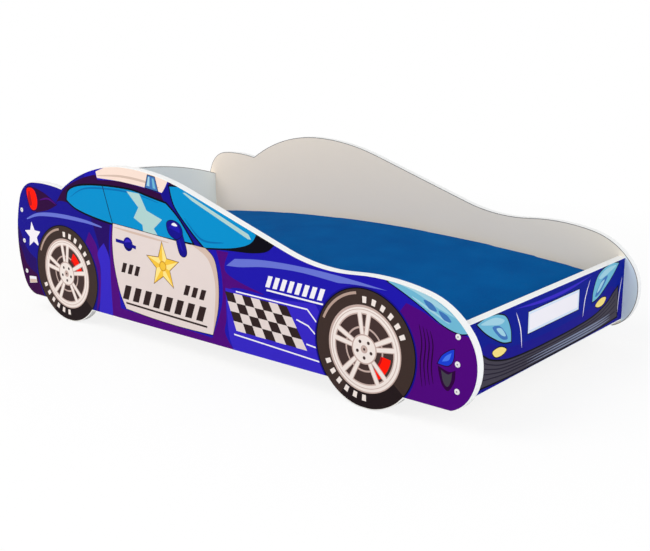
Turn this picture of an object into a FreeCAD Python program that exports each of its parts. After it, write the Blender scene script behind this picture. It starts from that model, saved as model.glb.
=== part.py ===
import FreeCAD, Part
import math
import os
import re
import Sketcher

# A low children's car bed of laminated boards, in millimetres.
# +X points to the front of the car, +Y to its left side and +Z up. The origin is on the floor,
# in the middle of the length and of the width.

os.makedirs("parts", exist_ok=True)
doc = FreeCAD.newDocument("car_bed")
sheet = doc.addObject("Spreadsheet::Sheet", "Sizes")

# ---------------------------------------------------------------- driving dimensions
driving = (
    ("mattress_length", 1400, "nominal length of the mattress"),
    ("mattress_width", 700, "nominal width of the mattress"),
    ("mattress_end_gap", 9.5, "play between the mattress and the head or foot board"),
    ("mattress_side_gap", 5, "play between the mattress and each side panel"),
    ("board", 18, "thickness of every laminated board"),
    ("strip", 2, "thickness of the glued edge strips"),
    ("front_overhang", 39, "side panel in front of the footboard"),
    ("rear_overhang", 23, "side panel behind the headboard"),
    ("underside", 47, "height of the sill, chin and tail above the floor"),
    # wheels cut in one with the side panel
    ("wheel_radius", 132.5, "outer radius of the wheel outline"),
    ("wheel_flat", 0.5, "depth of the flat on which each wheel stands"),
    ("front_wheel_setback", 279.5, "front wheel centre behind the nose"),
    ("rear_wheel_setback", 217.5, "rear wheel centre ahead of the tail"),
    # side panel outline, from the tail over the roof to the chin
    ("tail_height", 192, "height of the rearmost point"),
    ("tail_low_radius", 311, "rear face below the rearmost point"),
    ("tail_high_radius", 343, "rear face above the rearmost point"),
    ("tail_foot_radius", 60, "rounding between the rear face and the underside"),
    ("tail_foot_height", 106.5, "height of that rounding's centre"),
    ("shoulder_radius", 80, "rounding between the rear face and the boot lid"),
    ("deck_setback", 134, "highest point of the boot lid, from the tail"),
    ("deck_height", 371.5, ""),
    ("deck_radius", 516, ""),
    ("valley_setback", 221, "corner between the boot lid and the roof, from the tail"),
    ("roof_setback", 484, "highest point of the roof, from the tail"),
    ("roof_height", 445.5, ""),
    ("screen_top_setback", 807.5, "corner between the roof and the windscreen, from the nose"),
    ("screen_top_drop", 35.2, "how far that corner lies below the top of the roof"),
    ("cowl_setback", 353, "lowest point between the windscreen and the front wing, from the nose"),
    ("cowl_radius", 478, ""),
    ("wing_setback", 248, "highest point of the front wing, from the nose"),
    ("wing_height", 294, ""),
    ("wing_radius", 565, ""),
    ("bonnet_radius", 177, "rounding where the bonnet turns down"),
    ("nose_height", 146, "height of the foremost point"),
    ("nose_high_radius", 114, "nose above the foremost point"),
    ("nose_low_radius", 123, "nose below the foremost point"),
    ("chin_radius", 86, "rounding between the nose and the underside"),
    ("chin_height", 127.5, "height of that rounding's centre"),
    # head and foot boards
    ("crossboard_underside", 67, "height of both boards' lower edges"),
    ("footboard_top", 227, ""),
    ("headboard_side_height", 297, "top of the headboard where it meets the side panels"),
    ("headboard_crown_height", 353, "top of the headboard's arch"),
    # panel screws with their caps, three at each end of each side panel
    ("foot_screw_height", 93, "lowest screw of the footboard"),
    ("foot_screw_pitch", 56.5, ""),
    ("head_screw_height", 111, "lowest screw of the headboard"),
    ("head_screw_pitch", 87, ""),
    ("panel_screw_diameter", 7, ""),
    ("panel_screw_length", 50, ""),
    ("panel_screw_head_diameter", 10, ""),
    ("panel_screw_head_height", 3, ""),
    ("screw_recess", 0.4, "how far the screw heads lie below the outer face"),
    ("cap_diameter", 12, ""),
    ("cap_thickness", 0.8, ""),
    ("hole_clearance", 0.15, "radial clearance of every screw in its hole"),
    ("pilot_spare", 1.5, "blind holes past the screw's tip"),
    # slatted base
    ("deck_top", 112, "height of the slats' upper faces above the floor"),
    ("rail_height", 40, ""),
    ("rail_width", 20, ""),
    ("rail_end_gap", 15, "rail end to head or foot board"),
    ("rail_edge", 1.5, "chamfer of the rails' long edges"),
    ("slat_count", 11, ""),
    ("slat_width", 70, ""),
    ("slat_thickness", 12, ""),
    ("slat_edge", 1.5, "chamfer of the slats' long edges"),
    ("slat_side_gap", 2, "slat end to side panel"),
    ("slat_end_gap", 14, "first and last slat to head or foot board"),
    ("strap_width", 25, ""),
    ("strap_thickness", 1.2, ""),
    ("strap_inset", 110, "strap middle to the side panel's inner face"),
    ("strap_tail", 12, "strap past the outer edge of the first and last slat"),
    # mattress of foam in a sewn cover
    ("mattress_seat_gap", 0.3, "cover above the slats"),
    ("mattress_end_height", 66, "height of the mattress at its ends"),
    ("mattress_middle_height", 112, "height at mid length, under the crown"),
    ("mattress_waist", 5, "how far each long side draws in between its corners"),
    ("mattress_edge", 6, "easing of the upper and upright edges"),
    ("cover_thickness", 1.5, ""),
    ("cover_ease", 0.3, "space between the foam and its cover"),
)

# worked out from the driving dimensions
derived = (
    ("inside_length", "mattress_length + 2 * mattress_end_gap"),
    ("inside_width", "mattress_width + 2 * mattress_side_gap"),
    ("overall_length", "inside_length + 2 * board + front_overhang + rear_overhang"),
    ("nose", "overall_length / 2"),
    ("tail", "-overall_length / 2"),
    ("inner_face", "inside_width / 2"),
    ("outer_face", "inner_face + board"),
    ("footboard_inner", "nose - front_overhang - board"),
    ("headboard_inner", "tail + rear_overhang + board"),
    ("front_wheel", "nose - front_wheel_setback"),
    ("rear_wheel", "tail + rear_wheel_setback"),
    ("wheel_centre", "wheel_radius - wheel_flat"),
    ("flat_half", "sqrt(wheel_radius ^ 2 - wheel_centre ^ 2)"),
    ("wheel_half", "sqrt(wheel_radius ^ 2 - (wheel_centre - underside) ^ 2)"),
    ("rim_half", "sqrt(wheel_radius ^ 2 - (wheel_centre - underside - strip) ^ 2)"),
    ("core_flat_half", "sqrt((wheel_radius - strip) ^ 2 - (wheel_centre - strip) ^ 2)"),
    ("core_half", "sqrt((wheel_radius - strip) ^ 2 - (wheel_centre - underside - strip) ^ 2)"),
    ("deck_x", "tail + deck_setback"),
    ("deck_centre", "deck_height - deck_radius"),
    ("valley_x", "tail + valley_setback"),
    ("valley_height", "deck_centre + sqrt(deck_radius ^ 2 - (valley_x - deck_x) ^ 2)"),
    ("roof_x", "tail + roof_setback"),
    ("roof_rise", "roof_height - valley_height"),
    ("roof_rear_radius", "((roof_x - valley_x) ^ 2 + roof_rise ^ 2) / (2 * roof_rise)"),
    ("cowl_x", "nose - cowl_setback"),
    ("wing_x", "nose - wing_setback"),
    ("wing_centre", "wing_height - wing_radius"),
    ("cowl_centre", "wing_centre + sqrt((wing_radius + cowl_radius) ^ 2 - (cowl_x - wing_x) ^ 2)"),
    ("screen_top_x", "nose - screen_top_setback"),
    ("screen_top", "roof_height - screen_top_drop"),
    ("roof_front_run", "screen_top_x - roof_x"),
    ("roof_front_radius", "(roof_front_run ^ 2 + screen_top_drop ^ 2) / (2 * screen_top_drop)"),
    # the windscreen touches the cowl's circle, so its slope follows from that circle and its top
    ("cowl_ahead", "cowl_x - screen_top_x"),
    ("cowl_above", "cowl_centre - screen_top"),
    ("cowl_distance", "sqrt(cowl_ahead ^ 2 + cowl_above ^ 2)"),
    ("screen_length", "sqrt(cowl_distance ^ 2 - cowl_radius ^ 2)"),
    ("screen_run", "(cowl_ahead * screen_length + cowl_above * cowl_radius) / cowl_distance ^ 2"),
    ("screen_fall", "(cowl_ahead * cowl_radius - cowl_above * screen_length) / cowl_distance ^ 2"),
    # the roof's and the windscreen's square directions added up, for moving their corner inwards
    ("corner_lean", "roof_front_run / roof_front_radius + screen_fall"),
    ("corner_rise", "1 - screen_top_drop / roof_front_radius + screen_run"),
    ("corner_span", "(corner_lean ^ 2 + corner_rise ^ 2) / 2"),
    ("arch_rise", "headboard_crown_height - headboard_side_height"),
    ("arch_radius", "(inner_face ^ 2 + arch_rise ^ 2) / (2 * arch_rise)"),
    ("arch_centre", "headboard_crown_height - arch_radius"),
    ("headboard_core_side", "arch_centre + sqrt((arch_radius - strip) ^ 2 - inner_face ^ 2)"),
    ("foot_screw_x", "footboard_inner + board / 2"),
    ("head_screw_x", "headboard_inner - board / 2"),
    ("slat_length", "inside_width - 2 * slat_side_gap"),
    ("slat_first", "headboard_inner + slat_end_gap + slat_width / 2"),
    ("slat_last", "footboard_inner - slat_end_gap - slat_width / 2"),
    ("slat_pitch", "(slat_last - slat_first) / (slat_count - 1)"),
    ("slat_underside", "deck_top - slat_thickness"),
    ("rail_start", "headboard_inner + rail_end_gap"),
    ("rail_end", "footboard_inner - rail_end_gap"),
    ("mattress_bottom", "deck_top + mattress_seat_gap"),
    ("mattress_middle", "(headboard_inner + footboard_inner) / 2"),
    ("crown_rise", "mattress_middle_height - mattress_end_height"),
    ("crown_radius", "(mattress_length ^ 2 / 4 + crown_rise ^ 2) / (2 * crown_rise)"),
    ("waist_radius", "(mattress_length ^ 2 / 4 + mattress_waist ^ 2) / (2 * mattress_waist)"),
)

row = 0
for name, number, note in driving:
    row += 1
    sheet.set(f"A{row}", name)
    sheet.set(f"B{row}", str(number))
    sheet.setAlias(f"B{row}", name)
    sheet.set(f"C{row}", note)
for name, formula in derived:
    row += 1
    sheet.set(f"A{row}", name)
    sheet.set(f"B{row}", "=" + formula)
    sheet.setAlias(f"B{row}", name)
doc.recompute()
aliases = {entry[0] for entry in driving + derived}


def value(formula):
    return float(sheet.evalExpression(str(formula)))


def bound(formula):
    # the same formula as an expression on another object, with the sheet named before each alias
    return re.sub(r"[a-z]\w*", lambda word: "Sizes." * (word[0] in aliases) + word[0], str(formula))


# ---------------------------------------------------------------- drawing helpers
def flat_point(x, y):
    return FreeCAD.Vector(value(x), value(y), 0)


def constrain(sketch, kind, *details, formula):
    number = sketch.addConstraint(Sketcher.Constraint(kind, *details, value(formula)))
    sketch.setExpression(f"Constraints[{number}]", bound(formula))


def pin(sketch, edge, end, x=None, y=None):
    # end is 1 or 2 for an end of the edge and 3 for its centre
    if x is not None:
        constrain(sketch, "DistanceX", -1, 1, edge, end, formula=x)
    if y is not None:
        constrain(sketch, "DistanceY", -1, 1, edge, end, formula=y)


def add_edge(sketch, shape, start):
    # the edge with its two ends in the order in which the loop passes them
    edge = sketch.addGeometry(shape)
    first = 1 if sketch.getPoint(edge, 1).isEqual(start, 1e-6) else 2
    return edge, first, 3 - first


def draw_loop(sketch, corners):
    # Each corner is (x, y) followed by the edge that leaves it: nothing for a straight one, or a
    # radius and the side to which the arc swells, 1 for left and -1 for right of the way along it.
    points = [flat_point(corner[0], corner[1]) for corner in corners]
    edges = []
    for index, corner in enumerate(corners):
        start = points[index]
        end = points[(index + 1) % len(points)]
        shape = Part.LineSegment(start, end)
        if len(corner) > 2:
            radius = value(corner[2])
            chord = end - start
            rise = radius - math.sqrt(radius ** 2 - (chord.Length / 2) ** 2)
            left = FreeCAD.Vector(-chord.y, chord.x, 0).normalize()
            shape = Part.Arc(start, start + chord / 2 + left * rise * corner[3], end)
        edges.append(add_edge(sketch, shape, start))
        if len(corner) > 2:
            constrain(sketch, "Radius", edges[-1][0], formula=corner[2])
    for index, corner in enumerate(corners):
        edge, first, _ = edges[index]
        sketch.addConstraint(Sketcher.Constraint("Coincident", edges[index - 1][0], edges[index - 1][2],
                                                 edge, first))
        pin(sketch, edge, first, corner[0], corner[1])


def draw_circle(sketch, x, y, radius):
    edge = sketch.addGeometry(Part.Circle(flat_point(x, y), FreeCAD.Vector(0, 0, 1), value(radius)))
    constrain(sketch, "Radius", edge, formula=radius)
    pin(sketch, edge, 3, x, y)


def eased_box(left, right, low, high, edge):
    # corners of a rectangle with chamfered corners, clockwise from its lower left
    return (
        (left, f"{low} + {edge}"), (left, f"{high} - {edge}"), (f"{left} + {edge}", high),
        (f"{right} - {edge}", high), (right, f"{high} - {edge}"), (right, f"{low} + {edge}"),
        (f"{right} - {edge}", low), (f"{left} + {edge}", low))


def new_body(label):
    body = doc.addObject("PartDesign::Body", label)
    body.Label = label
    return body


def new_sketch(body, name, role, offset="0"):
    plane = next(item for item in body.Origin.OriginFeatures if item.Role == role)
    sketch = body.newObject("Sketcher::SketchObject", name)
    sketch.AttachmentSupport = [(plane, "")]
    sketch.MapMode = "FlatFace"
    sketch.setExpression("AttachmentOffset.Base.z", bound(offset))
    return sketch


def add_feature(body, kind, sketch, length, reverse=False, both_ways=False):
    feature = body.newObject("PartDesign::" + kind, sketch.Name + "_" + kind.lower())
    feature.Profile = sketch
    feature.setExpression("Length", bound(length))
    feature.Reversed = reverse
    if both_ways:
        feature.SideType = "Symmetric"
    sketch.Visibility = False
    return feature


# ---------------------------------------------------------------- side panel outline
def crossing(first, second, highest):
    # where two circles, each (centre, radius), cross: the higher or the lower of the two points
    (a, a_radius), (b, b_radius) = first, second
    line = b - a
    along = (line.Length ** 2 + a_radius ** 2 - b_radius ** 2) / (2 * line.Length)
    off = math.sqrt(a_radius ** 2 - along ** 2)
    line.normalize()
    points = [a + line * along + FreeCAD.Vector(-line.y, line.x, 0) * side * off for side in (1, -1)]
    return sorted(points, key=lambda point: point.y)[1 if highest else 0]


def touching(first, second):
    # where two touching circles meet: beyond the smaller one's centre if one lies in the other
    (a, a_radius), (b, b_radius) = first, second
    way = b - a
    if way.Length < max(a_radius, b_radius):
        way = way * (1 if a_radius > b_radius else -1)
    return a + way.normalize() * a_radius


def on_circle(circle, x=None, y=None, side=1):
    # the point of a circle at a given x or y, on its right or upper side, or on the other for -1
    centre, radius = circle
    if x is not None:
        return FreeCAD.Vector(x, centre.y + side * math.sqrt(radius ** 2 - (x - centre.x) ** 2), 0)
    return FreeCAD.Vector(centre.x + side * math.sqrt(radius ** 2 - (y - centre.y) ** 2), y, 0)


def draw_panel_outline(sketch, inset):
    # The car's outline, drawn clockwise at a distance inside the finished edge. Its round
    # stretches run smoothly into each other, apart from the corners at the boot lid, at the
    # windscreen's top and at the wheels.
    depth = value(inset)
    size = {name: value(name) for name in aliases}
    radius = {name: f"{name}_radius - {inset}" for name in (
        "tail_foot", "tail_low", "tail_high", "shoulder", "deck", "roof_rear", "roof_front",
        "wing", "bonnet", "nose_high", "nose_low", "chin", "wheel")}
    radius["cowl"] = f"cowl_radius + {inset}"      # the one hollow stretch

    def circle(name, x, y):
        return FreeCAD.Vector(x, y, 0), value(radius[name])

    def fitted(name, first, second, highest, hollow=False):
        # a circle of given radius that touches two others from inside, or the second from outside
        own = value(radius[name])
        gaps = [abs(first[1] - own), second[1] + own if hollow else abs(second[1] - own)]
        return crossing((first[0], gaps[0]), (second[0], gaps[1]), highest), own

    def rested(name, height, first, side):
        # a circle of given radius and centre height that touches another from inside
        own = value(radius[name])
        return on_circle((first[0], first[1] - own), y=height, side=side), own

    tail_low = circle("tail_low", size["tail"] + size["tail_low_radius"], size["tail_height"])
    tail_high = circle("tail_high", size["tail"] + size["tail_high_radius"], size["tail_height"])
    tail_foot = rested("tail_foot", size["tail_foot_height"], tail_low, -1)
    deck = circle("deck", size["deck_x"], size["deck_centre"])
    shoulder = fitted("shoulder", tail_high, deck, highest=True)
    roof_rear = circle("roof_rear", size["roof_x"], size["roof_height"] - size["roof_rear_radius"])
    roof_front = circle("roof_front", size["roof_x"], size["roof_height"] - size["roof_front_radius"])
    wing = circle("wing", size["wing_x"], size["wing_centre"])
    cowl = circle("cowl", size["cowl_x"], size["cowl_centre"])
    nose_high = circle("nose_high", size["nose"] - size["nose_high_radius"], size["nose_height"])
    nose_low = circle("nose_low", size["nose"] - size["nose_low_radius"], size["nose_height"])
    bonnet = fitted("bonnet", wing, nose_high, highest=True)
    chin = rested("chin", size["chin_height"], nose_low, 1)

    # the windscreen is the straight line from the roof's front corner that touches the cowl
    screen_top = flat_point(f"screen_top_x - {inset} * corner_lean / corner_span",
                            f"screen_top - {inset} * corner_rise / corner_span")
    way = cowl[0] - screen_top
    reach = math.sqrt(way.Length ** 2 - cowl[1] ** 2)
    along_screen = way * reach + FreeCAD.Vector(way.y, -way.x, 0) * cowl[1]
    screen_foot = screen_top + along_screen.normalize() * reach

    low = size["underside"] + depth
    wheels = {name: circle("wheel", size[name], size["wheel_centre"]) for name in ("front_wheel", "rear_wheel")}
    round_stretches = [
        ("tail_foot", tail_foot, on_circle(tail_foot, y=low, side=-1)),
        ("tail_low", tail_low, touching(tail_foot, tail_low)),
        ("tail_high", tail_high, FreeCAD.Vector(size["tail"] + depth, size["tail_height"], 0)),
        ("shoulder", shoulder, touching(tail_high, shoulder)),
        ("deck", deck, touching(shoulder, deck)),
        ("roof_rear", roof_rear, crossing(deck, roof_rear, highest=True)),
        ("roof_front", roof_front, FreeCAD.Vector(size["roof_x"], size["roof_height"] - depth, 0)),
        ("screen", None, screen_top),
        ("cowl", cowl, screen_foot),
        ("wing", wing, touching(cowl, wing)),
        ("bonnet", bonnet, touching(wing, bonnet)),
        ("nose_high", nose_high, touching(bonnet, nose_high)),
        ("nose_low", nose_low, FreeCAD.Vector(size["nose"] - depth, size["nose_height"], 0)),
        ("chin", chin, touching(nose_low, chin)),
        ("chin_line", None, on_circle(chin, y=low)),
    ]
    for name, next_line in (("front_wheel", "sill_line"), ("rear_wheel", "tail_line")):
        wheel = wheels[name]
        round_stretches += [
            (name + "_fore", wheel, on_circle(wheel, y=low)),
            (name + "_flat", None, on_circle(wheel, y=depth)),
            (name + "_aft", wheel, on_circle(wheel, y=depth, side=-1)),
            (next_line, None, on_circle(wheel, y=low, side=-1))]

    edges = {}
    for index, (name, shape, start) in enumerate(round_stretches):
        end = round_stretches[(index + 1) % len(round_stretches)][2]
        if shape is None:
            edges[name] = add_edge(sketch, Part.LineSegment(start, end), start)
            continue
        centre, own = shape
        middle = centre + ((start + end) / 2 - centre).normalize() * own
        edges[name] = add_edge(sketch, Part.Arc(start, middle, end), start)
        kind = "wheel" if "wheel" in name else name
        if kind != "roof_front":
            constrain(sketch, "Radius", edges[name][0], formula=radius[kind])

    def join(kind, before, after):
        sketch.addConstraint(Sketcher.Constraint(kind, edges[before][0], edges[before][2],
                                                 edges[after][0], edges[after][1]))

    def pin_centre(name, x=None, y=None):
        pin(sketch, edges[name][0], 3, x, y)

    def pin_start(name, x=None, y=None):
        pin(sketch, edges[name][0], edges[name][1], x, y)

    names = [name for name, _, _ in round_stretches]
    smooth = ("tail_low", "shoulder", "deck", "cowl", "wing", "bonnet", "nose_high", "chin")
    for before, after in zip([names[-1]] + names, names):
        join("Tangent" if after in smooth else "Coincident", before, after)
    pin_start("tail_foot", y=f"underside + {inset}")
    pin_centre("tail_foot", y="tail_foot_height")
    pin_centre("tail_low", y="tail_height")
    pin_start("tail_high", f"tail + {inset}", "tail_height")
    pin_centre("tail_high", y="tail_height")
    pin_centre("deck", "deck_x", "deck_centre")
    pin_centre("roof_rear", x="roof_x")
    pin_start("roof_front", "roof_x", f"roof_height - {inset}")
    pin_centre("roof_front", x="roof_x")
    pin_start("screen", f"screen_top_x - {inset} * corner_lean / corner_span",
              f"screen_top - {inset} * corner_rise / corner_span")
    pin_centre("cowl", x="cowl_x")
    pin_centre("wing", "wing_x", "wing_centre")
    pin_start("nose_low", f"nose - {inset}", "nose_height")
    pin_centre("nose_high", y="nose_height")
    pin_centre("nose_low", y="nose_height")
    pin_centre("chin", y="chin_height")
    pin_start("chin_line", y=f"underside + {inset}")
    for name, next_line in (("front_wheel", "sill_line"), ("rear_wheel", "tail_line")):
        pin_start(name + "_fore", y=f"underside + {inset}")
        pin_start(name + "_flat", y=inset)
        pin_start(name + "_aft", y=inset)
        pin_start(next_line, y=f"underside + {inset}")
        pin_centre(name + "_fore", name, "wheel_centre")
        pin_centre(name + "_aft", name, "wheel_centre")


# ---------------------------------------------------------------- side panel of the right-hand side
panel_screw_places = [
    (f"{end}_screw_x", f"{end}_screw_height + {step} * {end}_screw_pitch")
    for end in ("foot", "head") for step in range(3)]


def drill(body, name, plane, offset, places, radius, depth, reverse=False):
    sketch = new_sketch(body, name, plane, offset)
    for x, y in places:
        draw_circle(sketch, x, y, radius)
    add_feature(body, "Pocket", sketch, depth, reverse)


side_panel = new_body("side_panel_right")
core_outline = new_sketch(side_panel, "core_outline", "XZ_Plane", "outer_face")
draw_panel_outline(core_outline, "strip")
add_feature(side_panel, "Pad", core_outline, "board", reverse=True)
drill(side_panel, "panel_screw_bores", "XZ_Plane", "outer_face", panel_screw_places,
      "panel_screw_diameter / 2 + hole_clearance", "board")
drill(side_panel, "panel_screw_seats", "XZ_Plane", "outer_face", panel_screw_places,
      "panel_screw_head_diameter / 2 + hole_clearance",
      "screw_recess + panel_screw_head_height + hole_clearance")


# ---------------------------------------------------------------- edge strips of the side panel
def panel_strip(label, *loops):
    body = new_body(label)
    body.AllowCompound = True
    sketch = new_sketch(body, label + "_profile", "XZ_Plane", "outer_face")
    for corners in loops:
        draw_loop(sketch, corners)
    add_feature(body, "Pad", sketch, "board", reverse=True)
    return body


def wheel_rim(wheel):
    return (
        (f"{wheel} - rim_half", "underside + strip"),
        (f"{wheel} - core_half", "underside + strip", "wheel_radius - strip", -1),
        (f"{wheel} - core_flat_half", "strip"),
        (f"{wheel} + core_flat_half", "strip", "wheel_radius - strip", -1),
        (f"{wheel} + core_half", "underside + strip"),
        (f"{wheel} + rim_half", "underside + strip", "wheel_radius", 1),
        (f"{wheel} + flat_half", "0"),
        (f"{wheel} - flat_half", "0", "wheel_radius", 1))


wheel_strips = panel_strip("edge_strips_wheels_right", wheel_rim("front_wheel"), wheel_rim("rear_wheel"))
sill_strip = panel_strip("edge_strip_sill_right", (
    ("rear_wheel + wheel_half", "underside", "wheel_radius", -1),
    ("rear_wheel + rim_half", "underside + strip"),
    ("front_wheel - rim_half", "underside + strip", "wheel_radius", -1),
    ("front_wheel - wheel_half", "underside")))

# one long strip from the chin over the roof to the tail: the rim less the strips below
body_strip = new_body("edge_strip_body_right")
full_outline = new_sketch(body_strip, "full_outline", "XZ_Plane", "outer_face")
draw_panel_outline(full_outline, "0")
add_feature(body_strip, "Pad", full_outline, "board", reverse=True)
inside_of_strip = new_sketch(body_strip, "inside_of_strip", "XZ_Plane", "outer_face")
draw_panel_outline(inside_of_strip, "strip")
add_feature(body_strip, "Pocket", inside_of_strip, "board")
drill(body_strip, "wheel_discs", "XZ_Plane", "outer_face",
      [("front_wheel", "wheel_centre"), ("rear_wheel", "wheel_centre")], "wheel_radius", "board")
sill_gap = new_sketch(body_strip, "sill_gap", "XZ_Plane", "outer_face")
draw_loop(sill_gap, (("rear_wheel", "0"), ("rear_wheel", "underside + strip"),
                     ("front_wheel", "underside + strip"), ("front_wheel", "0")))
add_feature(body_strip, "Pocket", sill_gap, "board")


# ---------------------------------------------------------------- head and foot boards
def crossboard(label, inner_x, outward, corners, places):
    # outward is 1 for the footboard, whose outer face looks to +X, and -1 for the headboard
    body = new_body(label)
    face = new_sketch(body, label + "_face", "YZ_Plane", inner_x)
    draw_loop(face, corners)
    add_feature(body, "Pad", face, "board", reverse=outward < 0)
    for side in (1, -1):
        drill(body, f"{label}_bores_{'right' if side > 0 else 'left'}", "XZ_Plane", f"{side} * inner_face",
              places, "panel_screw_diameter / 2 + hole_clearance",
              "panel_screw_length + screw_recess + pilot_spare - board", reverse=side < 0)
    return body


footboard = crossboard("footboard", "footboard_inner", 1, (
    ("-inner_face", "crossboard_underside + strip"),
    ("-inner_face", "footboard_top - strip"),
    ("inner_face", "footboard_top - strip"),
    ("inner_face", "crossboard_underside + strip")), panel_screw_places[:3])
headboard = crossboard("headboard", "headboard_inner", -1, (
    ("-inner_face", "crossboard_underside + strip"),
    ("-inner_face", "headboard_core_side", "arch_radius - strip", 1),
    ("inner_face", "headboard_core_side"),
    ("inner_face", "crossboard_underside + strip")), panel_screw_places[3:])


def crossboard_strip(label, inner_x, outward, corners):
    body = new_body(label)
    sketch = new_sketch(body, label + "_profile", "YZ_Plane", inner_x)
    draw_loop(sketch, corners)
    add_feature(body, "Pad", sketch, "board", reverse=outward < 0)
    return body


def straight_strip(low, high):
    return (("-inner_face", low), ("-inner_face", high), ("inner_face", high), ("inner_face", low))


crossboard_strips = [
    crossboard_strip("edge_strip_footboard_top", "footboard_inner", 1,
                     straight_strip("footboard_top - strip", "footboard_top")),
    crossboard_strip("edge_strip_footboard_bottom", "footboard_inner", 1,
                     straight_strip("crossboard_underside", "crossboard_underside + strip")),
    crossboard_strip("edge_strip_headboard_bottom", "headboard_inner", -1,
                     straight_strip("crossboard_underside", "crossboard_underside + strip")),
    crossboard_strip("edge_strip_headboard_top", "headboard_inner", -1, (
        ("-inner_face", "headboard_core_side"),
        ("-inner_face", "headboard_side_height", "arch_radius", 1),
        ("inner_face", "headboard_side_height"),
        ("inner_face", "headboard_core_side", "arch_radius - strip", -1)))]


# ---------------------------------------------------------------- slatted base
rail = new_body("support_rail_right")
rail_section = new_sketch(rail, "rail_section", "YZ_Plane", "rail_start")
draw_loop(rail_section, eased_box(
    "-inner_face", "rail_width - inner_face", "slat_underside - rail_height", "slat_underside", "rail_edge"))
add_feature(rail, "Pad", rail_section, "rail_end - rail_start")

slats = []
for number in range(int(value("slat_count"))):
    label = f"slat_{number + 1:02d}"
    slat = new_body(label)
    middle = f"slat_first + {number} * slat_pitch"
    section = new_sketch(slat, label + "_section", "XZ_Plane")
    draw_loop(section, eased_box(
        f"{middle} - slat_width / 2", f"{middle} + slat_width / 2", "slat_underside", "deck_top", "slat_edge"))
    add_feature(slat, "Pad", section, "slat_length", both_ways=True)
    slats.append(slat)

strap = new_body("webbing_strap_right")
strap_plan = new_sketch(strap, "strap_plan", "XY_Plane", "slat_underside")
strap_left = "strap_inset - inner_face - strap_width / 2"
strap_right = "strap_inset - inner_face + strap_width / 2"
strap_start = "slat_first - slat_width / 2 - strap_tail"
strap_end = "slat_last + slat_width / 2 + strap_tail"
draw_loop(strap_plan, (
    (strap_start, strap_left), (strap_start, strap_right), (strap_end, strap_right), (strap_end, strap_left)))
add_feature(strap, "Pad", strap_plan, "strap_thickness", reverse=True)


# ---------------------------------------------------------------- screws and caps
def turned(label, corners):
    # a turned piece about the Z axis, whose top lies at the origin
    body = new_body(label)
    profile = new_sketch(body, label + "_profile", "XZ_Plane")
    draw_loop(profile, corners)
    turn = body.newObject("PartDesign::Revolution", label + "_turn")
    turn.Profile = profile
    turn.ReferenceAxis = (profile, ["V_Axis"])
    turn.Angle = 360
    return body


def group_of(label, master, places, axis):
    # copies of one fastener, with its head's top face at each place and its shank along -axis
    turn = FreeCAD.Rotation(FreeCAD.Vector(0, 0, 1), FreeCAD.Vector(*axis))
    copies = []
    for place in places:
        copy = master.Shape.copy()
        copy.Placement = FreeCAD.Placement(FreeCAD.Vector(*(value(part) for part in place)), turn)
        copies.append(copy)
    group = doc.addObject("Part::Feature", label)
    group.Label = label
    group.Shape = Part.makeCompound(copies)
    return group


panel_screw = turned("panel_screw", (
    ("0", "-panel_screw_length"), ("0", "0"), ("panel_screw_head_diameter / 2", "0"),
    ("panel_screw_diameter / 2", "-panel_screw_head_height"),
    ("panel_screw_diameter / 2", "-panel_screw_length")))
cap = turned("cap", (
    ("0", "0"), ("0", "cap_thickness"), ("cap_diameter / 2", "cap_thickness"), ("cap_diameter / 2", "0")))
doc.recompute()

panel_screws = group_of("panel_screws_right", panel_screw,
                        [(x, "screw_recess - outer_face", z) for x, z in panel_screw_places], (0, -1, 0))
caps = group_of("screw_caps_right", cap,
                [(x, "-outer_face", z) for x, z in panel_screw_places], (0, -1, 0))


# ---------------------------------------------------------------- mattress
def mattress_form(label, inset):
    # The mattress at a distance inside its finished surface: crowned from end to end, with
    # long sides that draw in between the corners and eased upper and upright edges.
    body = new_body(label)
    profile = new_sketch(body, label + "_profile", "XZ_Plane")
    start = f"mattress_middle - mattress_length / 2 + {inset}"
    end = f"mattress_middle + mattress_length / 2 - {inset}"
    low = f"mattress_bottom + {inset}"
    drop = f"sqrt((crown_radius - {inset}) ^ 2 - (mattress_length / 2 - {inset}) ^ 2)"
    high = f"mattress_bottom + mattress_middle_height - crown_radius + {drop}"
    draw_loop(profile, ((start, low), (start, high, f"crown_radius - {inset}", 1), (end, high), (end, low)))
    add_feature(body, "Pad", profile, f"mattress_width - 2 * {inset}", both_ways=True)

    waists = new_sketch(body, label + "_waists", "XY_Plane", "mattress_bottom")
    for side in (1, -1):
        edge = f"{side} * (mattress_width / 2 - {inset})"
        draw_loop(waists, ((start, edge, "waist_radius", -side), (end, edge)))
    waist_cut = add_feature(body, "Pocket", waists, "mattress_middle_height", reverse=True)
    doc.recompute()

    eased = []
    for number, edge in enumerate(waist_cut.Shape.Edges, 1):
        low_end = min(edge.Vertexes[0].Z, edge.Vertexes[1].Z)
        upright = abs(edge.Vertexes[0].Z - edge.Vertexes[1].Z) > value("mattress_end_height") / 2
        if upright or low_end > value(low) + 1:
            eased.append(f"Edge{number}")
    chamfer = body.newObject("PartDesign::Chamfer", label + "_edges")
    chamfer.Base = (waist_cut, eased)
    chamfer.setExpression("Size", bound("mattress_edge"))
    return body


core = mattress_form("mattress_core", "(cover_thickness + cover_ease)")
cover = doc.addObject("Part::Cut", "mattress_cover")
cover.Label = "mattress_cover"
cover.Base = mattress_form("mattress_outer_form", "0")
cover.Tool = mattress_form("mattress_cavity_form", "cover_thickness")


# ---------------------------------------------------------------- left-hand pieces
def mirrored(label, source):
    mirror = doc.addObject("Part::Mirroring", label)
    mirror.Label = label
    mirror.Source = source
    mirror.Normal = FreeCAD.Vector(0, 1, 0)
    return mirror


right_hand = [side_panel, body_strip, wheel_strips, sill_strip, panel_screws, caps, rail, strap]
left_hand = [mirrored(piece.Label.replace("_right", "_left"), piece) for piece in right_hand]

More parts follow.
